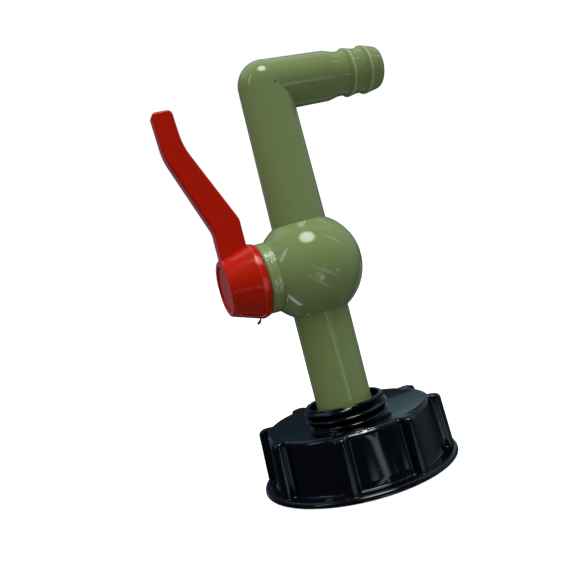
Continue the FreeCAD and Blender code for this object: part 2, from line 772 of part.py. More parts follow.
def make_handle_cover():
    """The red disc that covers the screw, pressed in the hub's end."""
    near = HUB_END - HUB_CAP_RECESS
    far = near + COVER_T
    outer_r = HUB_CAP_RECESS_R - COVER_GAP
    spigot_r = HUB_SCREW_WELL_R - COVER_GAP
    spigot_near = HUB_WEB_OUTER + WASHER_T + SCREW_HEAD_T + COVER_SPIGOT_GAP
    spigot_hole_r = spigot_r - COVER_SPIGOT_WALL
    return turned_on_stem([
        (near, 0),
        (near, spigot_hole_r),
        (spigot_near, spigot_hole_r),
        (spigot_near, spigot_r),
        (near, spigot_r),
        (near, outer_r),
        (far - COVER_EDGE, outer_r),
        (far, outer_r - COVER_EDGE),
        (far, 0),
    ])


NODES = {
    "adapter_cap": make_adapter_cap,
    "tank_gasket": make_tank_gasket,
    "foot_gasket": make_foot_gasket,
    "tap_body": make_tap_body,
    "bonnet": make_bonnet,
    "bonnet_seal": make_bonnet_seal,
    "upper_seat": lambda: make_seat(1),
    "lower_seat": lambda: make_seat(-1),
    "upper_seat_seal": lambda: make_seat_seal(1),
    "lower_seat_seal": lambda: make_seat_seal(-1),
    "valve_ball": make_valve_ball,
    "stem": make_stem,
    "thrust_washer": make_thrust_washer,
    "inner_stem_seal": lambda: make_stem_seal(stem_seal_places()[0]),
    "outer_stem_seal": lambda: make_stem_seal(stem_seal_places()[1]),
    "handle": make_handle,
    "handle_washer": make_handle_washer,
    "handle_screw": make_handle_screw,
    "handle_cover": make_handle_cover,
}

os.makedirs("parts", exist_ok=True)
for node, make in NODES.items():
    shape = make()
    print(node, shape.isValid(), len(shape.Solids), round(shape.Volume, 1))
    shape.exportStep(f"parts/{node}.step")
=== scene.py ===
import json
import math
from collections import namedtuple

import bmesh
import bpy
from mathutils import Matrix, Vector


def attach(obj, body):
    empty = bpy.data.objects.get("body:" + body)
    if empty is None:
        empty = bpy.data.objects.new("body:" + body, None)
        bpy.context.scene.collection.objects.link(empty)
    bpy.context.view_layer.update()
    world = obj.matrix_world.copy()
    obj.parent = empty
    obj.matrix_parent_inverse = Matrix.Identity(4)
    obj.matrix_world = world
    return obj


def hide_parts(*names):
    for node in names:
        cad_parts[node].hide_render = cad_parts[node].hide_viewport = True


# The tap adapter as it stands in the photograph: glossy black cap, olive tap,
# red lever. Every solid but the cap's is kept and gets a material. The cap is
# built anew here, with its threads and its soft moulded edges. A dark seam line
# of painted shade, a raised line coloured as a painted highlight and a spur of
# flash are added, and painted highlights and glints lie in some colours. Sizes
# are in millimetres until a mesh is made; MM turns them into metres.

MM = 0.001
TURN = 2 * math.pi
QUARTER = math.pi / 2

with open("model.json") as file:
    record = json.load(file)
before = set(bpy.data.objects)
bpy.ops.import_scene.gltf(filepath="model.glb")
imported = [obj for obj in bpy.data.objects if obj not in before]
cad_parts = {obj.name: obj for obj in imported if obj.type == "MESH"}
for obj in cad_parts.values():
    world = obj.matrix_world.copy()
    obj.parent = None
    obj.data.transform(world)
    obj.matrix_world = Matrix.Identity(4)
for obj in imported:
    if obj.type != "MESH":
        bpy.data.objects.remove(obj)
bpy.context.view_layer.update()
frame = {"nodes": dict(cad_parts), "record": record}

# Cap, outside: radii and heights as in the solid
CAP_FLANGE_R = 40.2
CAP_FLANGE_TOP = 2.2
CAP_FLANGE_ROUND = 1.5
CAP_FOOT_ROUND = 0.5
CAP_HEIGHT = 23.4
CAP_WALL_LOW_R = 35.0
CAP_WALL_TOP_R = 34.1
CAP_WALL_FOOT = 0.9
CAP_TOP_ROUND = 2.0
CAP_DISH_Z = 20.5
CAP_RIB_COUNT = 8
CAP_RIB_FIRST_DEG = -73.0
CAP_RIB_LOW_R = 39.0
CAP_RIB_TOP_R = 38.3
CAP_RIB_HALF = 2.8
CAP_RIB_ROUND = 2.1
CAP_RIB_ROOT = 0.9
CAP_RIB_ROOT_GAP = 0.1
CAP_RIB_TOP_ROUND = 1.8
CAP_RIB_FOOT_SHARE = 0.3

# Cap: where the top turns down to the dish, as how far in from the rim and how far down
DISH_EDGE = ((0.8, 0.14), (1.5, 0.27))
DISH_CORNER_ROUND = 0.6

# Cap: collar and its outside thread
COLLAR_TOP = 29.2
COLLAR_ROOT_R = 16.1
COLLAR_CREST_R = 17.38
COLLAR_PITCH = 3.0
COLLAR_TURNS = 2.2
COLLAR_RIDGE_SHARE = 0.42
COLLAR_RIDGE_FULLNESS = 0.75
COLLAR_THREAD_LIFT = 1.0
COLLAR_THREAD_START_DEG = -150
COLLAR_EDGE = 0.5
COLLAR_MOUTH_R = 14.5
COLLAR_FLOOR = 24.2
COLLAR_FLOOR_ROUND = 0.3

# Cap, inside: socket, boss, gasket seat and the tank's thread
SOCKET_R = 13.3
LIP_Z = 13.5
LIP_R = 9.5
LIP_ROUND = 0.4
BOSS_R = 16.4
BOSS_FOOT = 11.3
BOSS_ROUND = 0.6
CEILING = 18.3
CEILING_ROUND = 0.8
SEAT_R = 29.8
BORE_R = 30.3
BORE_DEPTH = 11.0
MOUTH_BEVEL = 0.9
TANK_CREST_R = 28.0
TANK_PITCH = 6.0
TANK_TURNS = 1.1
TANK_THREAD_Z = 2.6
TANK_THREAD_START_DEG = 40

# The tank's ridge as height and share of its depth: steep above, sloped below
TANK_RIDGE = ((1.1, 0.0), (0.95, 0.85), (0.75, 1.0), (-0.6, 1.0), (-0.85, 0.88), (-2.2, 0.0))

# Both threads: how deep they start in the wall, and how finely they are drawn
THREAD_SINK = 0.35
THREAD_STEPS = 96
THREAD_FADE_STEPS = 14

# Tap: the valve's height, and the seam between neck and bonnet
VALVE_Z = 84.9
SEAM_X = 16.6
SEAM_R = 14.15
SEAM_HALF = 0.12
SEAM_SLOPE = 0.02
SEAM_PROUD = 0.02
SEAM_SUNK = 0.2
SEAM_STEPS = 160

# Hub: its cone, and the raised line round the shallow panel
HUB_RIM = 24.1
HUB_RIM_R = 15.3
HUB_END = 36.6
HUB_END_R = 11.1
PANEL_MID = 29.4
PANEL_DEG = 52.0
PANEL_HALF_LONG = 4.6
PANEL_HALF_WIDE = 4.3
PANEL_CORNER = 1.3
PANEL_OPEN_END = 1.5
PANEL_TAPER = 0.25

# The line's section as distance across and lift
PANEL_SECTION = ((-0.3, -0.12), (-0.15, 0.12), (0.15, 0.12), (0.3, -0.12))

# Hub: the spur of flash, as places and its half width at each. Along X and Z its
# rings reach less far, by these shares of the half width.
SPUR = (((-25.4, -1.2, 71.2), 1.5), ((-25.6, -1.5, 70.2), 1.5), ((-26.1, -1.8, 69.4), 1.6),
        ((-27.0, -2.0, 68.8), 1.4), ((-27.8, -2.1, 68.6), 0.7))
SPUR_SHARE_X = 0.3
SPUR_SHARE_Z = 0.5
SPUR_STEPS = 10

# Colours, each as its lighter and its deeper tone
CAP_BLACK = ((0.0016, 0.0024, 0.004), (0.0009, 0.0013, 0.0024))
OLIVE = ((0.192, 0.256, 0.095), (0.178, 0.240, 0.088))
BONNET_OLIVE = ((0.22, 0.29, 0.115), (0.17, 0.23, 0.085))
# The seam's dark olive is painted shade in the gap between neck and bonnet
SEAM_SHADE_OLIVE = ((0.07, 0.09, 0.035), (0.025, 0.032, 0.014))
RED = ((0.445, 0.0098, 0.0006), (0.41, 0.0085, 0.0004))
# The panel's raised line is a lighter, shinier red: its colour is a painted highlight along the
# line
PANEL_LINE_HIGHLIGHT_RED = ((0.85, 0.11, 0.08), (0.75, 0.09, 0.06))
GASKET_GREY = ((0.03, 0.03, 0.032), (0.02, 0.02, 0.021))
SEAL_BLACK = ((0.022, 0.022, 0.022), (0.015, 0.015, 0.015))
SEAT_WHITE = ((0.82, 0.82, 0.79), (0.76, 0.76, 0.73))
BALL_WHITE = ((0.78, 0.78, 0.73), (0.74, 0.74, 0.69))

# Marks at places of the surface: the middle and half widths of an ellipsoid in
# millimetres, and the colour inside it. Glints are marks that fine noise breaks up;
# their pale colours are painted highlights.
Mark = namedtuple("Mark", "centre size colour")
SPECK = (0.5, 0.5, 0.5)
SPECK_DARK = (0.02, 0.02, 0.014)
# The barbs' crests: pale bands, partly worn whitened edges and partly a painted highlight along
# each crest
BARB_RING = (0.75, 30, 30)
BARB_WEAR_AND_HIGHLIGHT = (0.31, 0.39, 0.17)
TAP_MARKS = (
    Mark((-4.0, -7.2, 165.4), SPECK, SPECK_DARK),
    Mark((1.5, -10.5, 158.3), SPECK, SPECK_DARK),
    Mark((48.0, -8.8, 159.3), SPECK, SPECK_DARK),
    Mark((36.8, 0, 159.9), BARB_RING, BARB_WEAR_AND_HIGHLIGHT),
    Mark((44.6, 0, 159.9), BARB_RING, BARB_WEAR_AND_HIGHLIGHT),
)
# Painted highlights on the hub: a thin pale ring round its rim and two pale patches on the
# rim's front
HUB_PAINTED_HIGHLIGHTS = (
    Mark((-24.5, 0, 84.9), (0.42, 24, 24), (0.58, 0.04, 0.02)),
    Mark((-23.9, -12.9, 92.6), (1.7, 2.2, 3.0), (0.70, 0.15, 0.13)),
    Mark((-23.7, -14.8, 83.2), (1.3, 2.0, 3.6), (0.55, 0.06, 0.045)),
)
# The cap's front rim: a broken pale line, partly nicks in the rim and partly a painted
# highlight
CAP_RIM_NICKS_AND_GLINT = (Mark((-9.0, -33.2, 23.1), (7.2, 2.6, 0.6), (0.85, 0.92, 0.92)),)
# Painted glints on the bonnet's rough patches: pale olive broken up by fine noise
BONNET_GLINTS = (
    Mark((-18.6, -11.6, 92.6), (3.0, 3.0, 4.2), (0.45, 0.57, 0.36)),
    Mark((-18.2, -13.6, 80.9), (2.8, 2.4, 4.4), (0.40, 0.52, 0.33)),
)

# What the gloss reflects: soft patches of light in a dark room. Azimuth and
# elevation of the middle, half width, half height and roll are in degrees, and
# soft is how far the edge fades outward and inward, as a share of the half sizes.
Patch = namedtuple("Patch", "azimuth elevation half_width half_height roll soft colour")
PATCHES = (
    # High in front, and a narrow strip high on the right
    Patch(-88, 67, 13, 13, 0, 0.3, (9.5, 10.5, 10.5)),
    Patch(-25, 38, 18, 2.6, -64, 0.5, (1.2, 1.45, 1.3)),
    # Wide and dim: one high behind, two on the right and one level behind
    Patch(70, 64, 45, 22, 0, 0.25, (0.32, 0.41, 0.45)),
    Patch(22, 18, 24, 14, 0, 0.6, (0.20, 0.26, 0.28)),
    Patch(-15, 8, 26, 34, 0, 0.8, (0.16, 0.21, 0.23)),
    Patch(108, 2, 16, 14, 0, 0.5, (0.13, 0.14, 0.18)),
    # On the left, two strips and a blue glow
    Patch(-168, 34, 15, 3.6, 74, 0.5, (2.6, 3.3, 3.9)),
    Patch(168, -52, 14, 3.2, 70, 0.5, (3.4, 4.3, 5.2)),
    Patch(160, 50, 12, 10, 0, 0.7, (0.20, 0.26, 0.9)),
    # Low in front, a round light between two strips
    Patch(-88, -26, 5.5, 5.5, 0, 0.6, (2.5, 2.8, 2.7)),
    Patch(-79, -14, 26, 1.9, -31, 0.6, (1.2, 1.6, 1.6)),
    Patch(-92, -36, 24, 1.8, -37, 0.6, (1.3, 1.6, 1.6)),
    # Low in front, small lights that also shine along the cap's ribs
    Patch(-95, -17, 5.5, 3.4, 0, 0.7, (1.2, 1.7, 1.9)),
    Patch(-66, -17, 3, 2.6, 0, 0.6, (0.7, 1.0, 1.1)),
    Patch(-50, -16.5, 3.0, 2.4, 0, 0.6, (1.4, 1.9, 2.0)),
    Patch(-80, -6, 1.2, 5, 0, 0.7, (1.2, 1.45, 1.4)),
    Patch(-113, -16, 1.6, 3, 0, 0.6, (1.2, 1.6, 1.8)),
)

# Colours by the height of the direction, from -1 straight down to 1 straight up
ROOM = ((-1.0, (0.11, 0.13, 0.14)), (-0.7, (0.09, 0.11, 0.12)),
        (-0.45, (0.02, 0.022, 0.027)), (0.25, (0.022, 0.042, 0.065)),
        (0.6, (0.07, 0.085, 0.105)), (1.0, (0.10, 0.11, 0.13)))
SOFT_LIGHT = ((-1.0, (0.40, 0.40, 0.41)), (-0.1, (0.29, 0.29, 0.29)),
              (0.1, (0.25, 0.25, 0.25)), (0.5, (0.60, 0.60, 0.59)),
              (0.8, (1.35, 1.35, 1.3)), (1.0, (2.2, 2.2, 2.1)))
BACKDROP_GLOW = 1.05

# Lamp above in front, and the board behind on the right that the cap's top reflects
LAMP_ENERGY = 1.26
LAMP_ANGLE_DEG = 24
LAMP_AIM = (0.0, 0.40, -0.916)
BOARD_GLOW = 0.19
BOARD_WIDTH = 130
BOARD_HEIGHT = 75
BOARD_COLOUR = (0.62, 1.0, 1.12)
BOARD_PLACE = (98, 100, 32)
BOARD_AIM = (-0.45, -0.88, -0.05)

# Floor
FLOOR_R = 9000
FLOOR_Z = -0.2
FLOOR_STEPS = 96

# The photograph's camera, found from the cap's circles and the tap's axes
CAMERA_RIGHT = (0.92027, -0.30188, -0.24900)
CAMERA_UP = (0.24931, -0.03817, 0.96767)
CAMERA_BACK = (-0.30163, -0.95258, 0.04013)
CAMERA_PLACE = (-92.79, -259.53, 88.95)
CAMERA_LENS = 42.0
CAMERA_SENSOR = 36.0


def radial(radius, angle, height):
    """A point from cylinder coordinates in millimetres, given in metres."""
    return Vector((radius * math.cos(angle), radius * math.sin(angle), height)) * MM


def rounded(corners, steps):
    """Points (r, z) along corners (r, z) or (r, z, radius), with arcs at the radii."""
    points = []
    count = len(corners)
    for i, corner in enumerate(corners):
        here = Vector(corner[:2])
        if len(corner) == 2:
            points.append(here)
            continue
        radius = corner[2]
        before = (Vector(corners[i - 1][:2]) - here).normalized()
        after = (Vector(corners[(i + 1) % count][:2]) - here).normalized()
        half = before.angle(after) / 2
        reach = radius / math.tan(half)
        centre = here + (before + after).normalized() * radius / math.sin(half)
        start = here + before * reach - centre
        end = here + after * reach - centre
        turn = start.angle_signed(end)
        for k in range(steps + 1):
            spin = Matrix.Rotation(-turn * k / steps, 2)
            points.append(centre + spin @ start)
    return points


def mesh_object(name, build):
    """A new object whose mesh the function build fills in."""
    mesh = bpy.data.meshes.new(name)
    bm = bmesh.new()
    build(bm)
    bmesh.ops.recalc_face_normals(bm, faces=bm.faces)
    bm.to_mesh(mesh)
    bm.free()
    piece = bpy.data.objects.new(name, mesh)
    bpy.context.scene.collection.objects.link(piece)
    return piece


def ring_object(name, rows, join_ends):
    """A closed mesh through rows of points, each row a loop; the ends join or get caps."""

    def build(bm):
        rings = [[bm.verts.new(point) for point in row] for row in rows]
        pairs = list(zip(rings, rings[1:]))
        if join_ends:
            pairs.append((rings[-1], rings[0]))
        for low, high in pairs:
            for j in range(len(low)):
                k = (j + 1) % len(low)
                bm.faces.new((low[j], low[k], high[k], high[j]))
        if not join_ends:
            bm.faces.new(rings[0])
            bm.faces.new(rings[-1])

    return mesh_object(name, build)


def smooth(piece, degrees):
    """Smooth shading with the edges sharper than this kept crisp."""
    for polygon in piece.data.polygons:
        polygon.use_smooth = True
    piece.data.set_sharp_from_angle(angle=math.radians(degrees))


def rib_section():
    """Half a rib's section as (distance across, share of its reach), from middle to wall."""
    crest_steps, root_steps = 8, 5
    depth = CAP_RIB_LOW_R - CAP_WALL_LOW_R
    section = [(0.0, 1.0)]
    for k in range(crest_steps + 1):
        a = QUARTER * k / crest_steps
        across = CAP_RIB_HALF - CAP_RIB_ROUND + CAP_RIB_ROUND * math.sin(a)
        section.append((across, 1 - CAP_RIB_ROUND * (1 - math.cos(a)) / depth))
    for k in range(root_steps + 1):
        a = QUARTER * k / root_steps
        across = CAP_RIB_HALF + CAP_RIB_ROOT_GAP + CAP_RIB_ROOT * (1 - math.cos(a))
        section.append((across, CAP_RIB_ROOT * (1 - math.sin(a)) / depth))
    return section


def cap_columns():
    """Angles round the cap with, for each, the share of a rib's reach: dense at the ribs."""
    wall_steps = 14
    middle_r = (CAP_RIB_LOW_R + CAP_WALL_LOW_R) / 2
    half = [(math.atan2(across, middle_r), share) for across, share in rib_section()]
    rib_end = half[-1][0]
    pitch = TURN / CAP_RIB_COUNT
    span = pitch - 2 * rib_end
    columns = []
    for i in range(CAP_RIB_COUNT):
        middle = math.radians(CAP_RIB_FIRST_DEG) + i * pitch
        columns += [(middle - a, share) for a, share in reversed(half[1:])]
        columns += [(middle + a, share) for a, share in half]
        for k in range(1, wall_steps):
            columns.append((middle + rib_end + span * k / wall_steps, 0.0))
    return columns


def cap_outside_rows():
    """Pairs of wall point and rib point (r, z) from the flange's foot to the dish."""
    flange_steps, foot_steps, wall_steps, top_steps = 8, 4, 8, 7
    flange = rounded([
        (SEAT_R, 0),
        (CAP_FLANGE_R, 0, CAP_FOOT_ROUND),
        (CAP_FLANGE_R, CAP_FLANGE_TOP, CAP_FLANGE_ROUND),
        (CAP_WALL_LOW_R, CAP_FLANGE_TOP),
    ], flange_steps)[1:-1]
    rows = [(p, p) for p in flange]
    for k in range(foot_steps + 1):
        a = QUARTER * k / foot_steps
        r = CAP_WALL_FOOT * (1 - math.sin(a))
        z = CAP_FLANGE_TOP + CAP_WALL_FOOT * (1 - math.cos(a))
        rows.append((Vector((CAP_WALL_LOW_R + r, z)),
                     Vector((CAP_RIB_LOW_R + r * CAP_RIB_FOOT_SHARE, z))))
    low_z = CAP_FLANGE_TOP + CAP_WALL_FOOT
    wall_low = Vector((CAP_WALL_LOW_R, low_z))
    wall_high = Vector((CAP_WALL_TOP_R, CAP_HEIGHT - CAP_TOP_ROUND))
    rib_low = Vector((CAP_RIB_LOW_R, low_z))
    rib_high = Vector((CAP_RIB_TOP_R, CAP_HEIGHT - CAP_RIB_TOP_ROUND))
    for k in range(1, wall_steps + 1):
        share = k / wall_steps
        rows.append((wall_low.lerp(wall_high, share), rib_low.lerp(rib_high, share)))
    for k in range(1, top_steps + 1):
        a = QUARTER * k / top_steps
        inward = Vector((math.cos(a) - 1, math.sin(a)))
        rows.append((wall_high + CAP_TOP_ROUND * inward, rib_high + CAP_RIB_TOP_ROUND * inward))
    return rows


def cap_inner_rows():
    """The cap's round rows from the dish's edge over collar and boss to the mouth."""
    arc_steps = 5
    rim_r = CAP_WALL_TOP_R - CAP_TOP_ROUND
    dish_edge = [(rim_r - inward, CAP_HEIGHT - drop) for inward, drop in DISH_EDGE]
    return rounded(dish_edge + [
        (COLLAR_ROOT_R, CAP_DISH_Z, DISH_CORNER_ROUND),
        (COLLAR_ROOT_R, COLLAR_TOP, COLLAR_EDGE),
        (COLLAR_MOUTH_R, COLLAR_TOP, COLLAR_EDGE),
        (COLLAR_MOUTH_R, COLLAR_FLOOR, COLLAR_FLOOR_ROUND),
        (SOCKET_R, COLLAR_FLOOR),
        (SOCKET_R, LIP_Z),
        (LIP_R, LIP_Z),
        (LIP_R, BOSS_FOOT, LIP_ROUND),
        (BOSS_R, BOSS_FOOT, BOSS_ROUND),
        (BOSS_R, CEILING, CEILING_ROUND),
        (SEAT_R, CEILING),
        (SEAT_R, BORE_DEPTH),
        (BORE_R, BORE_DEPTH),
        (BORE_R, MOUTH_BEVEL),
        (BORE_R + MOUTH_BEVEL, 0),
    ], arc_steps)


def cap_shell():
    """The cap's closed shell without its threads."""
    columns = cap_columns()
    rows = []
    for wall, rib in cap_outside_rows():
        points = [(wall.lerp(rib, share), angle) for angle, share in columns]
        rows.append([radial(p.x, angle, p.y) for p, angle in points])
    for p in cap_inner_rows():
        rows.append([radial(p.x, angle, p.y) for angle, share in columns])
    return ring_object("cap_moulding", rows, join_ends=True)


def thread_ridge(name, root_r, crest_r, pitch, turns, low_z, section, start_deg):
    """A helical ridge: section gives (height, share of depth), its ends fade in the wall."""
    count = int(THREAD_STEPS * turns)
    sink = math.copysign(THREAD_SINK, crest_r - root_r)
    rows = []
    for i in range(count + 1):
        angle = math.radians(start_deg) + TURN * i / THREAD_STEPS
        rise = low_z + pitch * i / THREAD_STEPS
        near_end = min(1.0, i / THREAD_FADE_STEPS, (count - i) / THREAD_FADE_STEPS)
        depth = (crest_r - root_r + sink) * near_end * near_end * (3 - 2 * near_end)
        rows.append([radial(root_r - sink + depth * share, angle, rise + height)
                     for height, share in section])
    return ring_object(name, rows, join_ends=False)


def collar_ridge():
    """The ridge outside the collar, with rounded crest."""
    half_steps = 6
    foot = COLLAR_PITCH * COLLAR_RIDGE_SHARE
    section = []
    for k in range(-half_steps, half_steps + 1):
        wave = 0.5 + 0.5 * math.cos(math.pi * k / half_steps)
        section.append((foot * k / half_steps, wave ** COLLAR_RIDGE_FULLNESS))
    return thread_ridge("collar_ridge", COLLAR_ROOT_R, COLLAR_CREST_R, COLLAR_PITCH,
                        COLLAR_TURNS, CAP_DISH_Z + COLLAR_THREAD_LIFT, section,
                        COLLAR_THREAD_START_DEG)


def tank_ridge():
    """The coarse ridge inside the bore."""
    return thread_ridge("tank_ridge", BORE_R, TANK_CREST_R, TANK_PITCH, TANK_TURNS,
                        TANK_THREAD_Z, TANK_RIDGE, TANK_THREAD_START_DEG)


def join_solids(piece, others):
    """Fuses other closed pieces into this one and removes them."""
    for other in others:
        fuse = piece.modifiers.new("fuse", "BOOLEAN")
        fuse.operation = "UNION"
        fuse.solver = "EXACT"
        fuse.object = other
    bpy.context.view_layer.update()
    graph = bpy.context.evaluated_depsgraph_get()
    fused = bpy.data.meshes.new_from_object(piece.evaluated_get(graph))
    piece.modifiers.clear()
    piece.data = fused
    for other in others:
        bpy.data.objects.remove(other)


def make_cap():
    """The black cap with both threads, in place of its solid."""
    cap = cap_shell()
    join_solids(cap, [collar_ridge(), tank_ridge()])
    smooth(cap, degrees=38)
    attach(cap, "root")
    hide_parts("adapter_cap")
    return cap


def make_seam():
    """The dark line where the bonnet meets the neck, coloured as painted shade in the seam."""
    outline = ((-SEAM_X - SEAM_HALF - SEAM_SLOPE, SEAM_R - SEAM_SUNK),
               (-SEAM_X - SEAM_HALF, SEAM_R + SEAM_PROUD),
               (-SEAM_X + SEAM_HALF, SEAM_R + SEAM_PROUD),
               (-SEAM_X + SEAM_HALF + SEAM_SLOPE, SEAM_R - SEAM_SUNK))
    angles = [TURN * k / SEAM_STEPS for k in range(SEAM_STEPS)]
    rows = [[Vector((x, r * math.cos(a), VALVE_Z + r * math.sin(a))) * MM for a in angles]
            for x, r in outline]
    seam = ring_object("bonnet_seam_shade", rows, join_ends=True)
    smooth(seam, degrees=32)
    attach(seam, "root")
    return seam


def hub_point(along, across, lift):
    """A point on the hub's cone: along the stem, across round it from the panel's middle."""
    radius = HUB_RIM_R - (along - HUB_RIM) * (HUB_RIM_R - HUB_END_R) / (HUB_END - HUB_RIM)
    angle = math.radians(PANEL_DEG) + across / radius
    radius += lift
    return Vector((-along, -radius * math.cos(angle), VALVE_Z - radius * math.sin(angle))) * MM


def panel_path():
    """The middle of the panel's line, open on one side, as (along, across)."""
    corner_steps = 5
    open_across = PANEL_OPEN_END - PANEL_HALF_WIDE
    corner_along = PANEL_HALF_LONG - PANEL_CORNER
    corner_across = PANEL_HALF_WIDE - PANEL_CORNER
    path = [(PANEL_MID + PANEL_HALF_LONG, open_across)]
    for along, start in ((corner_along, 0), (-corner_along, QUARTER)):
        for k in range(corner_steps + 1):
            a = start + QUARTER * k / corner_steps
            path.append((PANEL_MID + along + PANEL_CORNER * math.cos(a),
                         corner_across + PANEL_CORNER * math.sin(a)))
    path.append((PANEL_MID - PANEL_HALF_LONG, open_across))
    return [Vector(point) for point in path]


def make_panel_line():
    """The fine raised line along three sides of the shallow panel in the hub."""
    path = panel_path()
    last = len(path) - 1
    rows = []
    for i, here in enumerate(path):
        ahead = path[min(last, i + 1)] - path[max(0, i - 1)]
        side = ahead.normalized().orthogonal()
        full = PANEL_TAPER if i in (0, last) else 1.0
        row = []
        for step, lift in PANEL_SECTION:
            point = here + side * step * full
            row.append(hub_point(point.x, point.y, lift * full))
        rows.append(row)
    line = ring_object("hub_panel_line", rows, join_ends=False)
    smooth(line, degrees=60)
    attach(line, "handle_rotor")
    return line


def make_spur():
    """The thin spur of flash that hangs from the hub's rim."""
    rows = []
    for place, half_width in SPUR:
        row = []
        for k in range(SPUR_STEPS):
            a = TURN * k / SPUR_STEPS
            offset = Vector((SPUR_SHARE_X * math.cos(a), math.cos(a),
                             SPUR_SHARE_Z * math.sin(a)))
            row.append((Vector(place) + half_width * offset) * MM)
        rows.append(row)
    spur = ring_object("hub_spur", rows, join_ends=False)
    smooth(spur, degrees=60)
    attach(spur, "handle_rotor")
    return spur


def node_tools(holder):
    """Short helpers that add and link nodes of a material or the world."""
    holder.use_nodes = True
    tree = holder.node_tree
    tree.nodes.clear()

    def add(kind, **values):
        """A new node with its properties, and its sockets by their names, set."""
        node = tree.nodes.new(kind)
        for key, value in values.items():
            if hasattr(node, key):
                setattr(node, key, value)
            else:
                node.inputs[key.replace("_", " ")].default_value = value
        return node

    def link(source, target):
        tree.links.new(source, target)

    return add, link


def noise(add, link, place, scale, detail, roughness):
    """A noise texture's value at a place."""
    texture = add("ShaderNodeTexNoise", Scale=scale, Detail=detail, Roughness=roughness)
    link(place, texture.inputs["Vector"])
    return texture.outputs["Fac"]


def remap(add, link, value, **limits):
    """A value mapped from one range to another, held at the ends."""
    node = add("ShaderNodeMapRange", **limits)
    link(value, node.inputs["Value"])
    return node.outputs["Result"]


def math_step(add, link, operation, first, second):
    """One calculation on a socket and a second socket or number."""
    node = add("ShaderNodeMath", operation=operation)
    link(first, node.inputs[0])
    if isinstance(second, float):
        node.inputs[1].default_value = second
    else:
        link(second, node.inputs[1])
    return node.outputs["Value"]


def scaled_sum(add, link, first, factor, second):
    """One socket times a number, plus a second socket."""
    node = add("ShaderNodeMath", operation="MULTIPLY_ADD")
    link(first, node.inputs[0])
    node.inputs[1].default_value = factor
    link(second, node.inputs[2])
    return node.outputs["Value"]


def vector_step(add, link, operation, source, constant=None):
    """One vector calculation on a socket, with a constant where it takes two vectors."""
    node = add("ShaderNodeVectorMath", operation=operation)
    link(source, node.inputs[0])
    if constant is not None:
        node.inputs[1].default_value = constant
    result = "Value" if operation in ("LENGTH", "DOT_PRODUCT") else "Vector"
    return node.outputs[result]


def colour_input(mix, name):
    """The colour socket of a Mix node, which has one of each kind under one name."""
    return [s for s in mix.inputs if s.name == name and s.type == "RGBA"][0]


def colour_output(mix):
    """The colour result of a Mix node."""
    return [s for s in mix.outputs if s.type == "RGBA"][0]


def two_tones(add, link, deep, base, share):
    """The deep colour, turning to the base colour as the share goes to 1."""
    mix = add("ShaderNodeMix", data_type="RGBA")
    colour_input(mix, "A").default_value = (*deep, 1)
    colour_input(mix, "B").default_value = (*base, 1)
    link(share, mix.inputs["Factor"])
    return colour_output(mix)


def overlay(add, link, below, colour, mask):
    """The colour laid over another one where the mask is 1."""
    mix = add("ShaderNodeMix", data_type="RGBA")
    link(below, colour_input(mix, "A"))
    colour_input(mix, "B").default_value = (*colour, 1)
    link(mask, mix.inputs["Factor"])
    return colour_output(mix)


def spot(add, link, place, mark):
    """1 inside a mark's ellipsoid and 0 outside, with a soft edge."""
    offset = vector_step(add, link, "SUBTRACT", place, Vector(mark.centre) * MM)
    scaled = vector_step(add, link, "DIVIDE", offset, Vector(mark.size) * MM)
    away = vector_step(add, link, "LENGTH", scaled)
    return remap(add, link, away, interpolation_type="SMOOTHSTEP", From_Min=1.0, From_Max=0.5)


def scuff_mask(add, link, place, patches):
    """Fine scratches in one direction, only where the patches are dense."""
    stretch = add("ShaderNodeMapping", Rotation=(0.3, 0.7, 0.5), Scale=(90.0, 1400.0, 1100.0))
    link(place, stretch.inputs["Vector"])
    lines = noise(add, link, stretch.outputs["Vector"], scale=1.0, detail=3.0, roughness=0.5)
    scratches = remap(add, link, lines, From_Min=0.66, From_Max=0.74)
    dense = remap(add, link, patches, From_Min=0.5, From_Max=0.68)
    return math_step(add, link, "MULTIPLY", scratches, dense)


def grain_normal(add, link, place, strength):
    """A bumped normal from a fine skin and slow waves."""
    wave_share = 4.0
    skin = noise(add, link, place, scale=900.0, detail=3.0, roughness=0.5)
    waves = noise(add, link, place, scale=120.0, detail=1.0, roughness=0.5)
    bump = add("ShaderNodeBump", Strength=strength, Distance=0.0004)
    link(scaled_sum(add, link, waves, wave_share, skin), bump.inputs["Height"])
    return bump.outputs["Normal"]


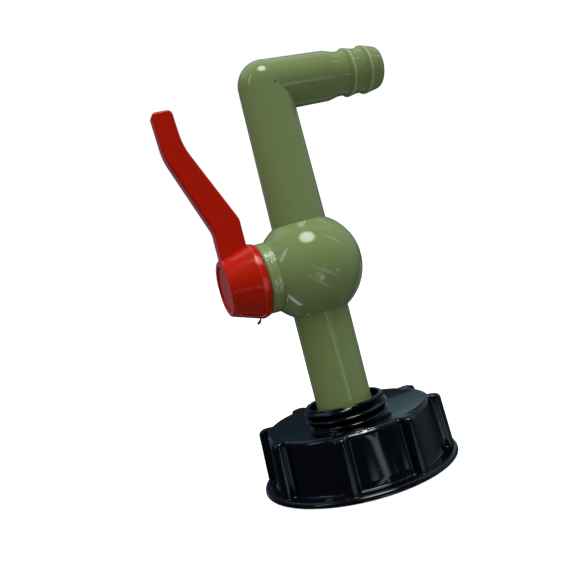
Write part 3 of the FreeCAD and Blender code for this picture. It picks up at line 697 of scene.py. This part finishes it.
def plastic(name, tones, roughness, coat=0.0, grain=0.05, scuff=0.12, cloud=28.0,
            worn_gain=1.5, marks=(), glints=(), shine=0.5):
    """Moulded plastic: clouded colour, faint grain, scuffs, marks at places and pale glints at
    places, painted as highlights.
    """
    base, deep = tones
    scuff_share, worn_lift, roughness_drift = 0.5, 0.01, 0.04
    material = bpy.data.materials.new(name)
    add, link = node_tools(material)
    place = add("ShaderNodeTexCoord").outputs["Object"]
    out = add("ShaderNodeOutputMaterial")
    shader = add("ShaderNodeBsdfPrincipled", Coat_Weight=coat, Coat_Roughness=0.06,
                 Specular_IOR_Level=shine)
    link(shader.outputs["BSDF"], out.inputs["Surface"])

    clouds = noise(add, link, place, scale=cloud, detail=4.0, roughness=0.55)
    colour = two_tones(add, link, deep, base,
                       remap(add, link, clouds, From_Min=0.3, From_Max=0.7))
    patches = noise(add, link, place, scale=75.0, detail=5.0, roughness=0.6)
    scuffs = scuff_mask(add, link, place, patches)
    worn = tuple(min(1.0, c * worn_gain + worn_lift) for c in base)
    colour = overlay(add, link, colour, worn,
                     math_step(add, link, "MULTIPLY", scuffs, scuff_share))
    for mark in marks:
        colour = overlay(add, link, colour, mark.colour, spot(add, link, place, mark))
    # Painted glints: pale colour broken up by fine noise, standing in for highlights
    if glints:
        fine = noise(add, link, place, scale=1300.0, detail=2.0, roughness=0.6)
        broken = remap(add, link, fine, From_Min=0.5, From_Max=0.56)
        for glint in glints:
            mask = math_step(add, link, "MULTIPLY", spot(add, link, place, glint), broken)
            colour = overlay(add, link, colour, glint.colour, mask)
    link(colour, shader.inputs["Base Color"])

    gloss = remap(add, link, patches, To_Min=roughness, To_Max=roughness + roughness_drift)
    link(scaled_sum(add, link, scuffs, scuff, gloss), shader.inputs["Roughness"])
    link(grain_normal(add, link, place, grain), shader.inputs["Normal"])
    return material


def steel(name):
    """Plated steel with fine stains."""
    material = bpy.data.materials.new(name)
    add, link = node_tools(material)
    place = add("ShaderNodeTexCoord").outputs["Object"]
    out = add("ShaderNodeOutputMaterial")
    shader = add("ShaderNodeBsdfPrincipled", Metallic=1.0)
    link(shader.outputs["BSDF"], out.inputs["Surface"])
    stains = noise(add, link, place, scale=600.0, detail=5.0, roughness=0.6)
    tone = two_tones(add, link, deep=(0.5, 0.5, 0.52), base=(0.7, 0.69, 0.66), share=stains)
    link(tone, shader.inputs["Base Color"])
    link(remap(add, link, stains, To_Min=0.25, To_Max=0.45), shader.inputs["Roughness"])
    return material


def make_materials():
    """The materials of the record's slots."""
    return {
        "cap_plastic": plastic("cap_plastic_look", CAP_BLACK, roughness=0.06, grain=0.004,
                               scuff=0.3, worn_gain=5.0, glints=CAP_RIM_NICKS_AND_GLINT),
        "tap_plastic": plastic("tap_plastic_look", OLIVE, roughness=0.08, grain=0.006,
                               marks=TAP_MARKS),
        # The hub's colour carries painted highlights on its rim
        "handle_plastic": plastic("handle_plastic_look", RED, roughness=0.14, grain=0.06,
                                  shine=0.24, marks=HUB_PAINTED_HIGHLIGHTS),
        "gasket_rubber": plastic("gasket_rubber_look", GASKET_GREY, roughness=0.6, grain=0.2),
        "seal_rubber": plastic("seal_rubber_look", SEAL_BLACK, roughness=0.5, grain=0.15),
        "seat_plastic": plastic("seat_plastic_look", SEAT_WHITE, roughness=0.4),
        "ball_plastic": plastic("ball_plastic_look", BALL_WHITE, roughness=0.15, coat=0.2),
        "stem_plastic": plastic("stem_plastic_look", OLIVE, roughness=0.3),
        "screw_steel": steel("screw_steel_look"),
    }


def dress(node, material):
    """Gives a kept solid its material."""
    solid = frame["nodes"][node]
    solid.data.materials.clear()
    solid.data.materials.append(material)


def make_part():
    """Materials on the kept solids, and the pieces that are built here."""
    looks = make_materials()
    for subpart in frame["record"]["subparts"]:
        dress(subpart["node"], looks[subpart["material_slot"]])
    dress("handle_cover", plastic("cover_look", RED, roughness=0.2, grain=0.06, shine=0.12))
    # The bonnet's rough patches carry painted glints
    dress("bonnet", plastic("bonnet_look", BONNET_OLIVE, roughness=0.12, grain=0.6, scuff=0.3,
                            cloud=260.0, glints=BONNET_GLINTS))
    # The raised line round the hub's panel, coloured lighter red as a painted highlight
    line_highlight_look = plastic("panel_line_highlight_look", PANEL_LINE_HIGHLIGHT_RED, roughness=0.22, shine=0.9)
    # The seam line is coloured as painted shade
    seam_shade_look = plastic("seam_shade_look", SEAM_SHADE_OLIVE, roughness=0.5, cloud=500.0)
    make_cap().data.materials.append(looks["cap_plastic"])
    make_spur().data.materials.append(looks["handle_plastic"])
    make_panel_line().data.materials.append(line_highlight_look)
    make_seam().data.materials.append(seam_shade_look)


def make_floor():
    """A wide pale floor under the cap. It doesn't light the part; the room does."""

    def build(bm):
        bmesh.ops.create_circle(bm, cap_ends=True, segments=FLOOR_STEPS, radius=FLOOR_R * MM)

    floor = mesh_object("floor", build)
    floor.location.z = FLOOR_Z * MM
    floor.visible_glossy = False
    floor.visible_diffuse = False
    material = bpy.data.materials.new("floor_look")
    add, link = node_tools(material)
    out = add("ShaderNodeOutputMaterial")
    shader = add("ShaderNodeBsdfPrincipled", Base_Color=(0.5, 0.5, 0.5, 1), Roughness=0.9,
                 Specular_IOR_Level=0.0, Emission_Color=(1, 1, 1, 1),
                 Emission_Strength=0.78)
    link(shader.outputs["BSDF"], out.inputs["Surface"])
    floor.data.materials.append(material)


def heading(azimuth, elevation):
    """The unit vector with this azimuth and elevation in degrees."""
    a = math.radians(azimuth)
    e = math.radians(elevation)
    return Vector((math.cos(e) * math.cos(a), math.cos(e) * math.sin(a), math.sin(e)))


def height_ramp(add, link, height, stops):
    """A colour that changes with the height of the direction, from -1 to 1."""
    ramp = add("ShaderNodeValToRGB")
    link(remap(add, link, height, From_Min=-1.0), ramp.inputs["Fac"])
    # A new ramp has elements already, which the first stops take
    elements = ramp.color_ramp.elements
    ready = len(elements)
    for k, (level, colour) in enumerate(stops):
        position = (level + 1) / 2
        element = elements[k] if k < ready else elements.new(position)
        element.position = position
        element.color = (*colour, 1)
    return ramp.outputs["Color"]


def light_patch(add, link, direction, patch):
    """The colour that one patch adds in a direction."""
    ahead = heading(patch.azimuth, patch.elevation)
    turn = Matrix.Rotation(math.radians(patch.roll), 3, ahead)
    upward = turn @ heading(patch.azimuth, patch.elevation + 90)
    across = upward.cross(ahead)
    # X and Y are how far a direction lies from the patch's middle, with 1 at its edge
    parts = add("ShaderNodeCombineXYZ")
    for socket, axis, half in (("X", across, patch.half_width),
                               ("Y", upward, patch.half_height)):
        scaled = axis / math.sin(math.radians(half))
        link(vector_step(add, link, "DOT_PRODUCT", direction, scaled), parts.inputs[socket])
    # Z puts every direction on the other side of the room well outside the patch
    steepness, outside = 100.0, 10.0
    away = add("ShaderNodeMath", operation="MULTIPLY", use_clamp=True)
    link(vector_step(add, link, "DOT_PRODUCT", direction, -ahead), away.inputs[0])
    away.inputs[1].default_value = steepness
    far = math_step(add, link, "MULTIPLY", away.outputs["Value"], outside)
    link(far, parts.inputs["Z"])
    reach = vector_step(add, link, "LENGTH", parts.outputs["Vector"])
    mask = remap(add, link, reach, interpolation_type="SMOOTHSTEP",
                 From_Min=1.0 + patch.soft, From_Max=1.0 - patch.soft)
    tint = add("ShaderNodeVectorMath", operation="SCALE")
    tint.inputs[0].default_value = patch.colour
    link(mask, tint.inputs["Scale"])
    return tint.outputs["Vector"]


def background(add, link, colour):
    """A background that shines in the colour of a socket."""
    shader = add("ShaderNodeBackground")
    link(colour, shader.inputs["Color"])
    return shader.outputs["Background"]


def choose(add, link, test, first, second):
    """The second shader where the test is 1, and the first elsewhere."""
    mix = add("ShaderNodeMixShader")
    link(test, mix.inputs["Fac"])
    link(first, mix.inputs[1])
    link(second, mix.inputs[2])
    return mix.outputs["Shader"]


def make_world():
    """White behind the part, soft light on it, and a dark room with patches in its gloss."""
    world = bpy.data.worlds.new("studio")
    bpy.context.scene.world = world
    add, link = node_tools(world)
    out = add("ShaderNodeOutputWorld")
    direction = add("ShaderNodeTexCoord").outputs["Generated"]
    split = add("ShaderNodeSeparateXYZ")
    link(direction, split.inputs[0])
    height = split.outputs["Z"]
    total = height_ramp(add, link, height, ROOM)
    for patch in PATCHES:
        both = add("ShaderNodeVectorMath", operation="ADD")
        link(total, both.inputs[0])
        link(light_patch(add, link, direction, patch), both.inputs[1])
        total = both.outputs["Vector"]
    room = background(add, link, total)
    soft = background(add, link, height_ramp(add, link, height, SOFT_LIGHT))
    backdrop = add("ShaderNodeBackground", Color=(1, 1, 1, 1), Strength=BACKDROP_GLOW)
    rays = add("ShaderNodeLightPath")
    lit = choose(add, link, rays.outputs["Is Glossy Ray"], soft, room)
    seen = choose(add, link, rays.outputs["Is Camera Ray"], lit,
                  backdrop.outputs["Background"])
    link(seen, out.inputs["Surface"])


def light_object(light, direction):
    """Puts a light in the scene and points it along a direction."""
    lamp = bpy.data.objects.new(light.name, light)
    lamp.rotation_euler = Vector(direction).to_track_quat("-Z", "Y").to_euler()
    bpy.context.scene.collection.objects.link(lamp)
    return lamp


def make_lights():
    """One large soft lamp, above and in front, and a board that only the gloss sees."""
    sun = bpy.data.lights.new("lamp", "SUN")
    sun.energy = LAMP_ENERGY
    sun.angle = math.radians(LAMP_ANGLE_DEG)
    lamp = light_object(sun, LAMP_AIM)
    lamp.visible_glossy = False

    width, height = BOARD_WIDTH * MM, BOARD_HEIGHT * MM
    area = bpy.data.lights.new("board", "AREA")
    area.shape = "RECTANGLE"
    area.size = width
    area.size_y = height
    area.energy = BOARD_GLOW * math.pi * width * height
    area.color = BOARD_COLOUR
    board = light_object(area, BOARD_AIM)
    board.location = Vector(BOARD_PLACE) * MM
    board.visible_camera = False
    board.visible_diffuse = False


def make_camera():
    """The photograph's camera."""
    data = bpy.data.cameras.new("camera")
    data.lens = CAMERA_LENS
    data.sensor_width = CAMERA_SENSOR
    camera = bpy.data.objects.new("camera", data)
    turn = Matrix((CAMERA_RIGHT, CAMERA_UP, CAMERA_BACK)).transposed().to_4x4()
    camera.matrix_world = Matrix.Translation(Vector(CAMERA_PLACE) * MM) @ turn
    bpy.context.scene.collection.objects.link(camera)
    bpy.context.scene.camera = camera


make_part()
make_floor()
make_world()
make_lights()
make_camera()
bpy.context.scene.view_settings.view_transform = "Standard"
